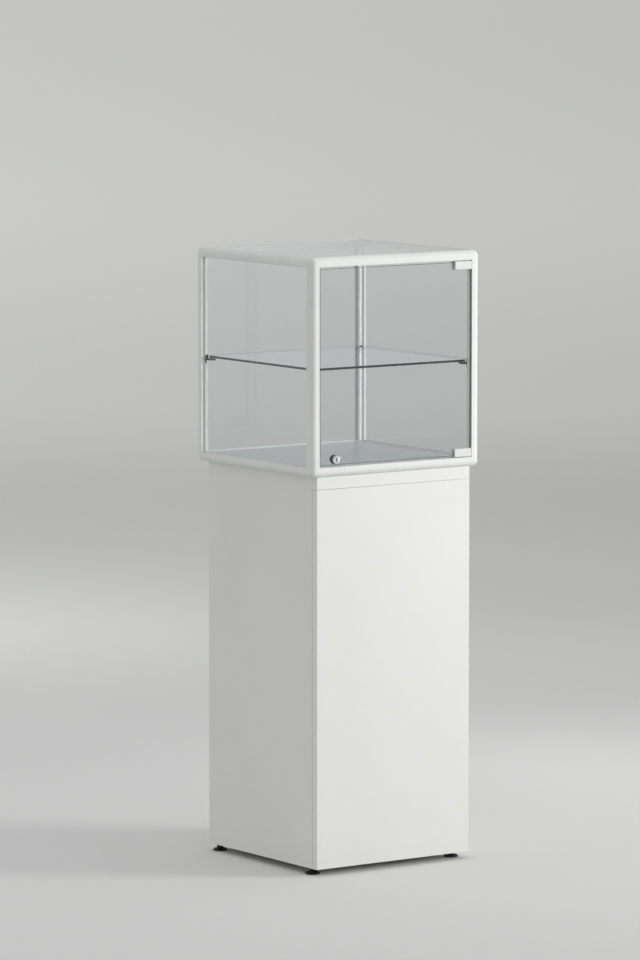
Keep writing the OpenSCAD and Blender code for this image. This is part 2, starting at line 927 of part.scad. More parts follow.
module door_glass() { color(glass_tint) door_pane(); }
module hinge_clamp_upper() { color("#dcdedc") at_upper() clamp(); }
module hinge_clamp_lower() { color("#dcdedc") at_lower() clamp(); }
module hinge_pads() { color(seal_grey) { at_upper() clamp_pads(); at_lower() clamp_pads(); } }
module hinge_grub_screws() { color(steel) { at_upper() grub_screws(); at_lower() grub_screws(); } }
module hinge_pins() { color(steel) { at_upper() pivot_pin(); at_lower() pivot_pin(); } }
module hinge_bushes() {
    color("#d9c9a0") {
        at_upper() pivot_bush();
        at_lower() pivot_bush();
        at_lower() thrust_washer();
    }
}
module lock_housing() { color("#d8dadb") at_lock() lock_body(); }
module lock_nut() { color("#3a3c3e") at_lock() translate([0, 0, door_t]) ring_nut(); }
module lock_plug() { color(steel) at_lock() plug(); }
module lock_cam() { color(steel) at_lock() cam(); }
module lock_cam_screw() { color(steel) at_lock() cam_screw(); }
module door_stops() { color("#c9cfce") stops(); }
module glass_shelf() { color(glass_tint) shelf_plate(); }
module shelf_supports() { color("#4a4c4e") at_supports() support(); }
module shelf_pads() { color(seal_grey) at_supports() support_pad(); }
module shelf_support_screws() { color(steel) at_supports() support_screw(); }
module plinth_side_left() { color(board_white) left_side(); }
module plinth_side_right() { color(board_white) mirror([1, 0, 0]) left_side(); }
module plinth_back() { color(board_white) back_board(); }
module plinth_top() { color(board_white) top_board(); }
module plinth_bottom() { color(board_white) bottom_board(); }
module plinth_strip() { color(board_white) strip(); }
module plinth_door() { color(board_white) front_door(); }
module front_pivot_pin() { color(steel) top_pivot_pin(); }
module front_pivot_plate() { color(steel) pivot_plate(); }
module front_pivot_screws() { color(steel) pivot_screws(); }
module latch_housing() { color("#9a9c9e") latch_case(); }
module latch_plunger() { color(tip_dark) plunger(); }
module carcass_dowels() { color("#d8b98a") dowels(); }
module case_screws() { color(steel) case_screw_set(); }
module foot_inserts() { color(steel) inserts(); }
module foot_front_left() { color(black) foot(-foot_x, foot_ys[0]); }
module foot_front_right() { color(black) foot(foot_x, foot_ys[0]); }
module foot_rear_left() { color(black) foot(-foot_x, foot_ys[1]); }
module foot_rear_right() { color(black) foot(foot_x, foot_ys[1]); }

post_front_left();
post_front_right();
post_rear_left();
post_rear_right();
rail_bottom_front();
rail_bottom_rear();
rail_bottom_left();
rail_bottom_right();
rail_top_front();
rail_top_rear();
rail_top_left();
rail_top_right();
corner_connectors_top();
corner_connectors_bottom();
pane_left();
pane_right();
pane_rear();
pane_top();
seal_left();
seal_right();
seal_rear();
seal_top();
case_floor();
door_glass();
hinge_clamp_upper();
hinge_clamp_lower();
hinge_pads();
hinge_grub_screws();
hinge_pins();
hinge_bushes();
lock_housing();
lock_nut();
lock_plug();
lock_cam();
lock_cam_screw();
door_stops();
glass_shelf();
shelf_supports();
shelf_pads();
shelf_support_screws();
plinth_side_left();
plinth_side_right();
plinth_back();
plinth_top();
plinth_bottom();
plinth_strip();
plinth_door();
front_pivot_pin();
front_pivot_plate();
front_pivot_screws();
latch_housing();
latch_plunger();
carcass_dowels();
case_screws();
foot_inserts();
foot_front_left();
foot_front_right();
foot_rear_left();
foot_rear_right();
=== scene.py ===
"""Looks of the glazed display case on its plinth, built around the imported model.

Sizes and places are written in millimetres and put into the meshes in metres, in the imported
model's frame: X to the right, Y to the rear and Z up from the floor.
"""
from math import radians

import bmesh
import bpy
from mathutils import Matrix, Vector


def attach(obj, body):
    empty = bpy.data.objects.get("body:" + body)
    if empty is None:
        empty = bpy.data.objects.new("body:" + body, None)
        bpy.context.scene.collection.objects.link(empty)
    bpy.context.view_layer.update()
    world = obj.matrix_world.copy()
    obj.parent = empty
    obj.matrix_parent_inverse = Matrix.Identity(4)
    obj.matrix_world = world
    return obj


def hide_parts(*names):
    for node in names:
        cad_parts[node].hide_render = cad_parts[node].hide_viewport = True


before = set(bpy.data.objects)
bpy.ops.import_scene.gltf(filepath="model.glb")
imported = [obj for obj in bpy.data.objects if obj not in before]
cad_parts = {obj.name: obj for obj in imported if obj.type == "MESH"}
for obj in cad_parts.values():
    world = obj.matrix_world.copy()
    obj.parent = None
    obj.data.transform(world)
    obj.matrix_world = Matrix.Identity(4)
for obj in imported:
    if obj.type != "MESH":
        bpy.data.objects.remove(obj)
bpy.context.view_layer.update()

MM = 0.001            # a millimetre in metres

# ---------- sizes in millimetres, as in the solids ----------

# Frame of the case
CASE = 450.0          # the case is square
TOP = 1354.0          # top of the case above the floor
CASE_Z = 877.0        # foot of the case, which is the plinth's top
BAR = 21.0            # width of a frame bar
EDGE_R = 12.0         # its outer rounding
CORE = (4.5, 13.0)    # its hollow core
GROOVE = (5.8, 13.2)  # a glazing groove across the bar
GROOVE_Z = 15.0       # and the level of its bottom
REBATE = 6.7          # depth of the step that holds the top pane
TOP_STEP = 0.5        # the top pane lies this much below the frame's top
HALF = CASE / 2
OPEN = HALF - BAR     # half of the opening between two bars
SILL = CASE_Z + BAR   # top of the bottom rails
HEAD = TOP - BAR      # underside of the top rails
ARRIS = 0.3           # rounding of a bar's sharp edges
CORNER_EDGE = 0.12    # and of a corner block's
SPIGOT = 22.0         # how far a corner block's arms reach into the bars
SPIGOT_PLAY = 0.1     # their play in the hollow core
SPIGOT_EDGE = 0.4     # and the rounding of their edges
TONGUE = OPEN + 5.2   # how far the groove for the floor's tongue reaches into the bars
TONGUE_Z = (SILL - 14.4, SILL - 8)   # from its lower to its upper side

# Glass
GLASS = 5.0           # thickness of every pane
GROUND = 0.6          # width of its ground arrises
BITE = 5.0            # depth of a pane's edge in the frame
PANE_BACK = 7.0       # the outer face of a fixed pane behind that of the frame
SHELF_Z = CASE_Z + 235   # top of the shelf
SHELF_HALF = 201.5    # half of the shelf's width
DOOR_HALF = 202.0     # half of the glass door's width
DOOR_GAP = 4.5        # gap over and under the glass door
DOOR_Y = -220.5       # the middle of its thickness
PIVOT_X = 192.0       # its pivots
BUSH_R, BUSH_L = 3.5, 7.0   # radius and length of the bushes that are let into the rails

# Lock
LOCK_X, LOCK_Z = -160.5, SILL + 16   # its axis
ROSETTE = 4.5         # thickness of the rosette
BARREL_R = 7.0        # radius of the bore in the door glass
PLUG_R, PLUG_L = 5.0, 19.0
PLUG_EDGE = 0.15      # rounding of the plug's edges
KEY_W, KEY_H, KEY_DEEP = 2.8, 9.2, 8.0   # keyway
SQUARE = 6.0          # width of the plug's shank
CAM_T = 2.0           # thickness of the cam on it
SCREW_R, SCREW_DEEP = 1.25, 7.0          # hole for the cam's screw
KEEPER_X = (LOCK_X - 6.25, LOCK_X + 16.1)    # slot in the bottom rail for the cam
KEEPER_Y = (DOOR_Y + 11.25, DOOR_Y + 14.75)
KEEPER_Z = LOCK_Z - 22.9                     # and its bottom

# Plinth
SIDE = 205.0          # half of its width
PLINTH_FRONT = -216.0   # front of strip and door
CARCASS = -196.8      # front edges of the boards behind strip and door
FOOT = 16.0           # height of the feet
BOARD = 18.0          # thickness of the boards
BOARD_EDGE = 0.35     # rounding of their edges
STRIP_Z = CASE_Z - 27.5   # lower edge of the strip
DOOR_TOP = STRIP_Z - 0.5  # upper edge of the plinth door
DOOR_PIN = (200.0, -211.0)   # axis of the plinth door's pins
PIN_R, PIN_PLAY = 2.0, 0.05
PIN_UP = 9.5          # depth of the upper pin's bore in the strip
PIN_SEAT = 20.0       # and of its seat in the door
PIN_LOW = 16.0        # depth of the bore over the lower pin
PLATE_X = 196.3       # recess over the plate that carries the lower pin
PLATE_Y = (-215.2, -197.0)
PLATE_T = 2.5         # and its depth

# How shapes are made
PAST = 1.0            # a cutting or joined shape reaches this far past a face
ROUND_STEPS = 16      # steps of the frame's large rounding
ROUND_SIDES = 64      # sides of a cylinder
SHARP = 40            # edges that turn by more degrees than this are rounded
SMOOTH = 20           # and steps that turn by fewer are shaded smooth
WELD = 0.002          # points closer than this are one
NEAR = 0.01           # places closer than this are the same
FLAT = 0.99           # a direction with this share of an axis runs along it


# ---------- modelling by operators ----------

def start_clean():
    """Leaves editing and clears the selection."""
    if bpy.context.object and bpy.context.object.mode != "OBJECT":
        bpy.ops.object.mode_set(mode="OBJECT")
    bpy.ops.object.select_all(action="DESELECT")


def settle(name):
    """Puts the active object's place into its mesh and names it."""
    piece = bpy.context.object
    bpy.ops.object.transform_apply(location=True, rotation=True, scale=True)
    piece.name = name
    piece.data.name = name
    return piece


def block(name, low, high):
    """A block from its lowest to its highest corner, in millimetres."""
    start_clean()
    low, high = Vector(low) * MM, Vector(high) * MM
    bpy.ops.mesh.primitive_cube_add(size=1, location=(low + high) / 2)
    bpy.context.object.scale = high - low
    return settle(name)


def rod(name, base, axis, radius, length):
    """A cylinder that starts at base and runs along axis, in millimetres."""
    start_clean()
    turn = Vector(axis).to_track_quat("Z", "Y")
    middle = (Vector(base) + Vector(axis).normalized() * length / 2) * MM
    bpy.ops.mesh.primitive_cylinder_add(vertices=ROUND_SIDES, radius=radius * MM,
                                        depth=length * MM, location=middle,
                                        rotation=turn.to_euler())
    return settle(name)


def edit(piece, what):
    """Opens a piece for editing with nothing selected."""
    start_clean()
    bpy.context.view_layer.objects.active = piece
    piece.select_set(True)
    bpy.ops.object.mode_set(mode="EDIT")
    bpy.ops.mesh.select_mode(type=what)
    bpy.ops.mesh.select_all(action="DESELECT")


def pick(piece, kind, test):
    """Selects the edges or faces whose middle, in millimetres, and direction pass a test."""
    mesh = bmesh.from_edit_mesh(piece.data)
    mesh.normal_update()
    for part in getattr(mesh, kind):
        if kind == "edges":
            a, b = (v.co / MM for v in part.verts)
            chosen = test((a + b) / 2, (b - a).normalized())
        else:
            chosen = test(part.calc_center_median() / MM, part.normal)
        if chosen:
            part.select_set(True)
    mesh.select_flush_mode()
    bmesh.update_edit_mesh(piece.data)


def done():
    """Closes a piece; only steps of a large rounding are smooth, so flat faces stay flat."""
    bpy.ops.object.mode_set(mode="OBJECT")
    bpy.ops.object.shade_smooth_by_angle(angle=radians(SMOOTH))


def soften(piece, width, segments=2, test=None):
    """Rounds a piece's sharp edges, or only the ones that pass a test."""
    edit(piece, "EDGE")
    if test:
        pick(piece, "edges", test)
    else:
        bpy.ops.mesh.edges_select_sharp(sharpness=radians(SHARP))
    bpy.ops.mesh.bevel(offset=width * MM, segments=segments, affect="EDGES", clamp_overlap=True)
    done()
    return piece


def place(piece, matrix):
    """Moves the mesh of a piece; a mirrored one gets its faces turned out again."""
    piece.data.transform(matrix)
    if matrix.determinant() < 0:
        piece.data.flip_normals()
    return piece


def join(name, pieces):
    """Makes several pieces one, under one name."""
    start_clean()
    for piece in pieces:
        piece.select_set(True)
    bpy.context.view_layer.objects.active = pieces[0]
    bpy.ops.object.join()
    pieces[0].name = name
    pieces[0].data.name = name
    return pieces[0]


def twin(piece, name, matrix):
    """A copy of a piece, with a mesh of its own, at another place."""
    other = piece.copy()
    other.data = piece.data.copy()
    other.name = name
    other.data.name = name
    bpy.context.scene.collection.objects.link(other)
    return place(other, matrix)


def cut(piece, tool):
    """Takes one shape out of another."""
    start_clean()
    bpy.context.view_layer.objects.active = piece
    piece.select_set(True)
    hole = piece.modifiers.new("cut", "BOOLEAN")
    hole.operation = "DIFFERENCE"
    hole.solver = "EXACT"
    hole.object = tool
    bpy.ops.object.modifier_apply(modifier=hole.name)
    bpy.data.objects.remove(tool)
    return piece


def weld(piece):
    """Joins points that fall together and turns the faces out."""
    edit(piece, "VERT")
    bpy.ops.mesh.select_all(action="SELECT")
    bpy.ops.mesh.remove_doubles(threshold=WELD * MM)
    bpy.ops.mesh.dissolve_degenerate(threshold=WELD * MM)
    bpy.ops.mesh.select_all(action="SELECT")
    bpy.ops.mesh.normals_make_consistent(inside=False)
    done()
    return piece


def shift(x, y, z):
    """A move, in millimetres."""
    return Matrix.Translation(Vector((x, y, z)) * MM)


FLIP_X = Matrix.Scale(-1, 4, (1, 0, 0))
FLIP_Y = Matrix.Scale(-1, 4, (0, 1, 0))
FLIP_Z = Matrix.Scale(-1, 4, (0, 0, 1))


# ---------- materials ----------

TONE_AT = (0.35, 0.65)    # levels of a noise that take the dark and the light tone
GLOSS_AT = (0.3, 0.7)     # levels of a noise that take the least and the most roughness
LINE_DEPTH = 0.01         # depth of drawn lines, in millimetres
LINE_SWING = 0.05         # how far the roughness wanders between them
ROLL, ROLL_DEPTH = 120, 0.02    # faint roll of float glass from crest to crest, and its depth
GLASS_IOR = 1.52          # index of refraction of float glass


def srgb(text, alpha=1.0):
    """A written colour as linear values."""
    parts = [int(text[i:i + 2], 16) / 255 for i in (1, 3, 5)]
    return [p / 12.92 if p <= 0.04045 else ((p + 0.055) / 1.055) ** 2.4 for p in parts] + [alpha]


def add(tree, kind, settings=None, links=None, stops=None):
    """Adds a node, sets its values or inputs by name, and links its inputs.

    stops gives the places and colours of a colour ramp.
    """
    node = tree.nodes.new(kind)
    for key, value in (settings or {}).items():
        if isinstance(key, str) and hasattr(node, key):
            setattr(node, key, value)
        else:
            node.inputs[key].default_value = value
    for key, socket in (links or {}).items():
        tree.links.new(socket, node.inputs[key])
    if stops:
        while len(node.color_ramp.elements) < len(stops):
            node.color_ramp.elements.new(0.5)
        for stop, (at, colour) in zip(node.color_ramp.elements, stops.items()):
            stop.position = at
            stop.color = srgb(colour)
    return node


def repeats(size):
    """How often a pattern of this size in millimetres comes back in a metre."""
    return 1000 / size


def new_material(name):
    """An empty node material and its tree."""
    material = bpy.data.materials.new(name)
    material.use_nodes = True
    material.node_tree.nodes.clear()
    return material, material.node_tree


def finish(tree, shader):
    """Leads a shader to the material's output."""
    add(tree, "ShaderNodeOutputMaterial", links={"Surface": shader})


def coated(name, dark, light, cell, depth, rough, swing=0.06, patch=60.0, **shader):
    """A surface with a fine texture of a given cell in millimetres over slow patches of tone.

    cell is the size of the texture's grains, depth their height in millimetres, rough the
    middle roughness and swing how far it wanders, and patch the size of the patches of tone.
    """
    material, tree = new_material(name)
    where = add(tree, "ShaderNodeTexCoord").outputs["Object"]
    slow = add(tree, "ShaderNodeTexNoise", {"Scale": repeats(patch), "Detail": 3.0},
               {"Vector": where})
    fine = add(tree, "ShaderNodeTexNoise", {"Scale": repeats(cell), "Detail": 2.0},
               {"Vector": where})
    bump = add(tree, "ShaderNodeBump", {"Strength": 1.0, "Distance": depth * MM},
               {"Height": fine.outputs["Fac"]})
    tone = add(tree, "ShaderNodeValToRGB", links={"Fac": slow.outputs["Fac"]},
               stops=dict(zip(TONE_AT, (dark, light))))
    gloss = add(tree, "ShaderNodeMapRange",
                {"From Min": GLOSS_AT[0], "From Max": GLOSS_AT[1],
                 "To Min": rough - swing, "To Max": rough + swing},
                {"Value": slow.outputs["Fac"]})
    body = add(tree, "ShaderNodeBsdfPrincipled", shader, {
        "Base Color": tone.outputs["Color"],
        "Roughness": gloss.outputs["Result"], "Normal": bump.outputs["Normal"]})
    finish(tree, body.outputs["BSDF"])
    return material


def brushed(name, dark, light, line, rough, across=(1.0, 1.0, 0.04)):
    """Metal with fine drawn lines of a given width in millimetres.

    across gives the lines' scale on the three axes; they run along the one with the small share.
    """
    material, tree = new_material(name)
    where = add(tree, "ShaderNodeTexCoord").outputs["Object"]
    along = add(tree, "ShaderNodeMapping", {"Scale": across}, {"Vector": where})
    lines = add(tree, "ShaderNodeTexNoise", {"Scale": repeats(line), "Detail": 2.0},
                {"Vector": along.outputs["Vector"]})
    bump = add(tree, "ShaderNodeBump", {"Strength": 1.0, "Distance": LINE_DEPTH * MM},
               {"Height": lines.outputs["Fac"]})
    tone = add(tree, "ShaderNodeValToRGB", links={"Fac": lines.outputs["Fac"]},
               stops=dict(zip(TONE_AT, (dark, light))))
    gloss = add(tree, "ShaderNodeMapRange",
                {"To Min": rough - LINE_SWING, "To Max": rough + LINE_SWING},
                {"Value": lines.outputs["Fac"]})
    body = add(tree, "ShaderNodeBsdfPrincipled", {"Metallic": 1.0}, {
        "Base Color": tone.outputs["Color"],
        "Roughness": gloss.outputs["Result"], "Normal": bump.outputs["Normal"]})
    finish(tree, body.outputs["BSDF"])
    return material


def sheet_glass(name, tint, loss):
    """Clear float glass: it mirrors and bends what is behind it, and lets lamp light through.

    loss is what is left of the light that passes one of its faces.
    """
    material, tree = new_material(name)
    where = add(tree, "ShaderNodeTexCoord").outputs["Object"]
    roll = add(tree, "ShaderNodeTexNoise", {"Scale": repeats(ROLL), "Detail": 0.0},
               {"Vector": where})
    bump = add(tree, "ShaderNodeBump", {"Strength": 1.0, "Distance": ROLL_DEPTH * MM},
               {"Height": roll.outputs["Fac"]})
    body = add(tree, "ShaderNodeBsdfPrincipled",
               {"Base Color": srgb(tint), "Roughness": 0.0, "IOR": GLASS_IOR,
                "Transmission Weight": 1.0},
               {"Normal": bump.outputs["Normal"]})
    clear = add(tree, "ShaderNodeBsdfTransparent", {"Color": srgb(loss)})
    path = add(tree, "ShaderNodeLightPath")
    soft = add(tree, "ShaderNodeMath", {"operation": "MAXIMUM"},
               {0: path.outputs["Is Shadow Ray"], 1: path.outputs["Is Diffuse Ray"]})
    mix = add(tree, "ShaderNodeMixShader", links={
        "Fac": soft.outputs["Value"], 1: body.outputs["BSDF"], 2: clear.outputs["BSDF"]})
    finish(tree, mix.outputs["Shader"])
    return material


# Polyester powder on extruded aluminium: satin white with a faint orange peel of about 1.5 mm.
powder_white = coated("powder_coated_aluminium", "#e9eae8", "#eeefec", cell=1.5, depth=0.012,
                      rough=0.5)
# White lacquer on board, rolled and cured: nearly even, with a softer peel of about 3 mm.
lacquer_white = coated("lacquered_board", "#eaeae6", "#ecece9", cell=3.0, depth=0.010, rough=0.45,
                       swing=0.03, patch=140.0)
# Melamine faced board of the case floor: pale grey, with a fine pearl grain of 0.8 mm.
melamine_grey = coated("melamine_faced_board", "#c6cac9", "#cbcfce", cell=0.8, depth=0.008,
                       rough=0.3, swing=0.02, patch=90.0)
# Wet paint on die-cast zinc clamps: a little warmer and glossier than the frame.
clamp_paint = coated("painted_zinc_casting", "#dddedc", "#e3e4e2", cell=1.0, depth=0.010,
                     rough=0.35)
# Extruded silicone gasket: pale grey with a dry, dull skin.
gasket = coated("extruded_silicone", "#d8dbda", "#dfe2e1", cell=0.5, depth=0.010, rough=0.6,
                patch=8.0)
# Glass filled nylon of the feet: black, with the dull speckle of the mould.
nylon_black = coated("moulded_nylon", "#141516", "#1d1e20", cell=0.6, depth=0.012, rough=0.5,
                     patch=10.0)
# Natural acetal of the bushes: milk white and waxy.
acetal = coated("turned_acetal", "#dddcd6", "#e4e3de", cell=0.8, depth=0.006, rough=0.35,
                patch=6.0)
# Moulded ABS of the push latch and its tip.
abs_grey = coated("moulded_abs_grey", "#94979a", "#9da0a3", cell=0.9, depth=0.010, rough=0.45,
                  patch=12.0)
abs_dark = coated("moulded_abs_dark", "#2a2c2e", "#33363a", cell=0.9, depth=0.010, rough=0.45,
                  patch=12.0)
# Clear silicone stops: milky and soft.
silicone = coated("cast_silicone", "#c4caca", "#ced3d3", cell=1.0, depth=0.006, rough=0.3,
                  patch=9.0, **{"Transmission Weight": 0.3})
# Steel blackened by oxide on the lock's ring nut.
black_oxide = coated("oxidised_steel", "#45484a", "#525557", cell=0.5, depth=0.008, rough=0.36,
                     patch=5.0, Metallic=1.0)
# Matt chrome on the lock's brass body: bright, with the soft haze of fine blasting.
chrome = coated("chromed_brass", "#c4c6c8", "#cfd1d3", cell=2.0, depth=0.002, rough=0.3,
                swing=0.04, patch=7.0, Metallic=1.0)
# Zinc plated and drawn steel of the pins, screws, plates and inserts.
steel = brushed("drawn_steel", "#a8aaad", "#bcbfc2", line=0.35, rough=0.32)
# Anodised aluminium of the shelf supports.
anodised = brushed("anodised_aluminium", "#2b2d2f", "#36383a", line=0.4, rough=0.38,
                   across=(0.05, 1.0, 1.0))
# Turned beech of the dowels.
beech = coated("turned_beech", "#cfae7d", "#dcbf92", cell=1.2, depth=0.03, rough=0.6, patch=5.0)
# Float glass faces.
glass_face = sheet_glass("float_glass", tint="#f8f9fa", loss="#f8f9f9")
# Ground and polished edges of the shelf and the door: dark bottle green.
polished_edge = coated("polished_glass_edge", "#1d2a25", "#273530", cell=6.0, depth=0.004,
                       rough=0.12, patch=30.0)
# Cut and seamed edges of the panes in the frame: frosted pale, and made nearly white as painted
# light that stands for the light a pane carries to its edges and lightens the shade in the
# grooves.
cut_edge_painted_light = coated("seamed_glass_edge_painted_light", "#f1f5f4", "#f6f8f7", cell=1.0, depth=0.02, rough=0.5,
                  patch=20.0)


def wear(piece, *materials):
    """Gives a piece these materials, one for each slot."""
    piece.data.materials.clear()
    for material in materials:
        piece.data.materials.append(material)
    return piece


def stand_for(piece, body, slot, *nodes):
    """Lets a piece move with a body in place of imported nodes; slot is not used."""
    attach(piece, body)
    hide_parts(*nodes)
    return piece


# ---------- frame bars ----------

def bar_section(name, cuts):
    """The cut of a bar as a flat face, its rounded outer corner at the origin.

    cuts says what the bar has: "y" a groove in the face at the far end of Y, "x" one in that of
    X, and "r" a rebate at the end of X.
    """
    start_clean()
    bpy.ops.mesh.primitive_plane_add(size=BAR * MM, location=(BAR / 2 * MM, BAR / 2 * MM, 0))
    piece = settle(name)
    edit(piece, "VERT")
    # Only the corner at the origin gets the large rounding.
    mesh = bmesh.from_edit_mesh(piece.data)
    for v in mesh.verts:
        v.select_set(v.co.length < MM)
    mesh.select_flush_mode()
    bmesh.update_edit_mesh(piece.data)
    bpy.ops.mesh.bevel(offset=EDGE_R * MM, segments=ROUND_STEPS, affect="VERTICES", profile=0.5)
    # Cuts through the whole face leave its hollows as faces of their own, which are taken out.
    lines = {*CORE, *(GROOVE + (GROOVE_Z,) if cuts else ()), *((REBATE,) if "r" in cuts else ())}
    for at in sorted(lines):
        for normal in ((1, 0, 0), (0, 1, 0)):
            bpy.ops.mesh.select_all(action="SELECT")
            bpy.ops.mesh.bisect(plane_co=Vector(normal) * at * MM, plane_no=normal)
    bpy.ops.mesh.select_all(action="DESELECT")
    bpy.ops.mesh.select_mode(type="FACE")

    def hollow(c, n):
        """The core, the grooves and the rebate, which stay open."""
        core = CORE[0] < c.x < CORE[1] and CORE[0] < c.y < CORE[1]
        on_y = "y" in cuts and GROOVE[0] < c.x < GROOVE[1] and c.y > GROOVE_Z
        on_x = "x" in cuts and GROOVE[0] < c.y < GROOVE[1] and c.x > GROOVE_Z
        step = "r" in cuts and c.x > GROOVE_Z and c.y < REBATE
        return core or on_y or on_x or step

    pick(piece, "faces", hollow)
    bpy.ops.mesh.delete(type="FACE")
    return piece


def frame_bar(name, length, cuts):
    """A bar that stands on the origin, along Z."""
    piece = bar_section(name, cuts)
    bpy.ops.mesh.select_all(action="SELECT")
    bpy.ops.mesh.extrude_region_move(TRANSFORM_OT_translate={"value": (0, 0, length * MM)})
    bpy.ops.mesh.select_all(action="SELECT")
    bpy.ops.mesh.normals_make_consistent(inside=False)
    done()

    def near(c, x, y):
        """Whether an edge stands at this place of the bar's section."""
        return abs(c.x - x) + abs(c.y - y) < 2 * NEAR

    def arris(c, d):
        """The bar's sharp outer edges, the lips of its grooves and the edges of its rebate."""
        on_side = abs(c.x - BAR) < NEAR or abs(c.y - BAR) < NEAR
        lip = cuts and on_side and any(abs(c.x - g) < NEAR or abs(c.y - g) < NEAR for g in GROOVE)
        corner = near(c, BAR, BAR) or (on_side and min(c.x, c.y) < NEAR)
        step = "r" in cuts and (near(c, GROOVE_Z, 0) or near(c, BAR, REBATE))
        return abs(d.z) > FLAT and (corner or lip or step)

    return soften(piece, ARRIS, test=arris)


post_h = HEAD - SILL
rail_l = 2 * OPEN
# A bar's Z, X and Y turn to X, Y and Z, or to -Y, X and Z.
ALONG_X = Matrix(((0, 0, 1, 0), (1, 0, 0, 0), (0, 1, 0, 0), (0, 0, 0, 1)))
ALONG_Y = Matrix(((1, 0, 0, 0), (0, 0, -1, 0), (0, 1, 0, 0), (0, 0, 0, 1)))

front_post = place(frame_bar("post_front_left_bar", post_h, "y"), shift(-HALF, -HALF, SILL))
rear_post = place(frame_bar("post_rear_left_bar", post_h, "xy"),
                  shift(-HALF, HALF, SILL) @ FLIP_Y)
bottom_front = place(frame_bar("rail_bottom_front_bar", rail_l, ""),
                     shift(-OPEN, -HALF, CASE_Z) @ ALONG_X)
bottom_rear = place(frame_bar("rail_bottom_rear_bar", rail_l, "y"),
                    shift(-OPEN, HALF, CASE_Z) @ FLIP_Y @ ALONG_X)
bottom_left = place(frame_bar("rail_bottom_left_bar", rail_l, "y"),
                    shift(-HALF, OPEN, CASE_Z) @ ALONG_Y)
top_front = place(frame_bar("rail_top_front_bar", rail_l, "r"),
                  shift(-OPEN, -HALF, TOP) @ FLIP_Z @ ALONG_X)
top_rear = place(frame_bar("rail_top_rear_bar", rail_l, "yr"),
                 shift(-OPEN, HALF, TOP) @ FLIP_Y @ FLIP_Z @ ALONG_X)
top_left = place(frame_bar("rail_top_left_bar", rail_l, "yr"),
                 shift(-HALF, OPEN, TOP) @ FLIP_Z @ ALONG_Y)
# What the bars are cut for: the floor's tongue, the pivot bushes and the lock's cam.
for rail in (bottom_front, bottom_rear, bottom_left):
    cut(rail, block("tongue_groove", (-TONGUE, -TONGUE, TONGUE_Z[0]),
                    (TONGUE, TONGUE, TONGUE_Z[1])))
for rail, foot in ((bottom_front, SILL - BUSH_L), (top_front, HEAD - PAST)):
    cut(rail, rod("bush_bore", (PIVOT_X, DOOR_Y, foot), (0, 0, 1), BUSH_R, BUSH_L + PAST))
cut(bottom_front, block("keeper_slot", (KEEPER_X[0], KEEPER_Y[0], KEEPER_Z),
                        (KEEPER_X[1], KEEPER_Y[1], SILL + PAST)))
bars = {
    "post_front_left": front_post,
    "post_front_right": twin(front_post, "post_front_right_bar", FLIP_X),
    "post_rear_left": rear_post,
    "post_rear_right": twin(rear_post, "post_rear_right_bar", FLIP_X),
    "rail_bottom_front": bottom_front,
    "rail_bottom_rear": bottom_rear,
    "rail_bottom_left": bottom_left,
    "rail_bottom_right": twin(bottom_left, "rail_bottom_right_bar", FLIP_X),
    "rail_top_front": top_front,
    "rail_top_rear": top_rear,
    "rail_top_left": top_left,
    "rail_top_right": twin(top_left, "rail_top_right_bar", FLIP_X),
}
for node, piece in bars.items():
    stand_for(wear(weld(piece), powder_white), "base", "frame_white", node)

# ---------- rounded corners of the frame ----------

def corner_piece(name, notch):
    """A solid corner with spigots for three bars, its outer corner at the origin.

    notch cuts the corner of the step that holds the top pane.
    """
    piece = block(name, (0, 0, 0), (BAR, BAR, BAR))
    soften(piece, EDGE_R, ROUND_STEPS, lambda c, d: sorted((c.x, c.y, c.z))[1] < NEAR)
    if notch:
        cut(piece, block("notch", (GROOVE_Z, GROOVE_Z, -PAST), (BAR + PAST, BAR + PAST, REBATE)))
    soften(piece, CORNER_EDGE, 1)
    low, high = CORE[0] + SPIGOT_PLAY, CORE[1] - SPIGOT_PLAY
    start, end = BAR - PAST, BAR + SPIGOT
    arms = [block("arm", (low, low, start), (high, high, end)),
            block("arm", (low, start, low), (high, end, high)),
            block("arm", (start, low, low), (end, high, high))]
    for arm in arms:
        soften(arm, SPIGOT_EDGE, 1)
    return join(name, [piece] + arms)


def four_corners(piece):
    """The corner at all four upright edges of the case."""
    place(piece, shift(-HALF, -HALF, CASE_Z))
    others = [twin(piece, "corner", turn) for turn in (FLIP_X, FLIP_Y, FLIP_X @ FLIP_Y)]
    return join(piece.name, [piece] + others)


corners_bottom = four_corners(corner_piece("frame_corners_bottom", False))
corners_top = place(four_corners(corner_piece("frame_corners_top", True)),
                    shift(0, 0, CASE_Z + TOP) @ FLIP_Z)
for piece, node in ((corners_bottom, "corner_connectors_bottom"),
                    (corners_top, "corner_connectors_top")):
    stand_for(wear(piece, powder_white), "base", "frame_white", node)


# ---------- glass ----------

def pane(name, low, high, flat, edge):
    """A sheet with ground arrises: flat is the axis across it, and edge its edges' material."""
    piece = block(name, low, high)
    soften(piece, GROUND, 1)
    wear(piece, glass_face, edge)
    for face in piece.data.polygons:
        face.material_index = 0 if abs(face.normal[flat]) > FLAT else 1
        face.use_smooth = False
    return piece


def glass_piece(node, body, piece):
    """Puts a pane in the place of a packed one."""
    stand_for(piece, body, "float_glass", node)


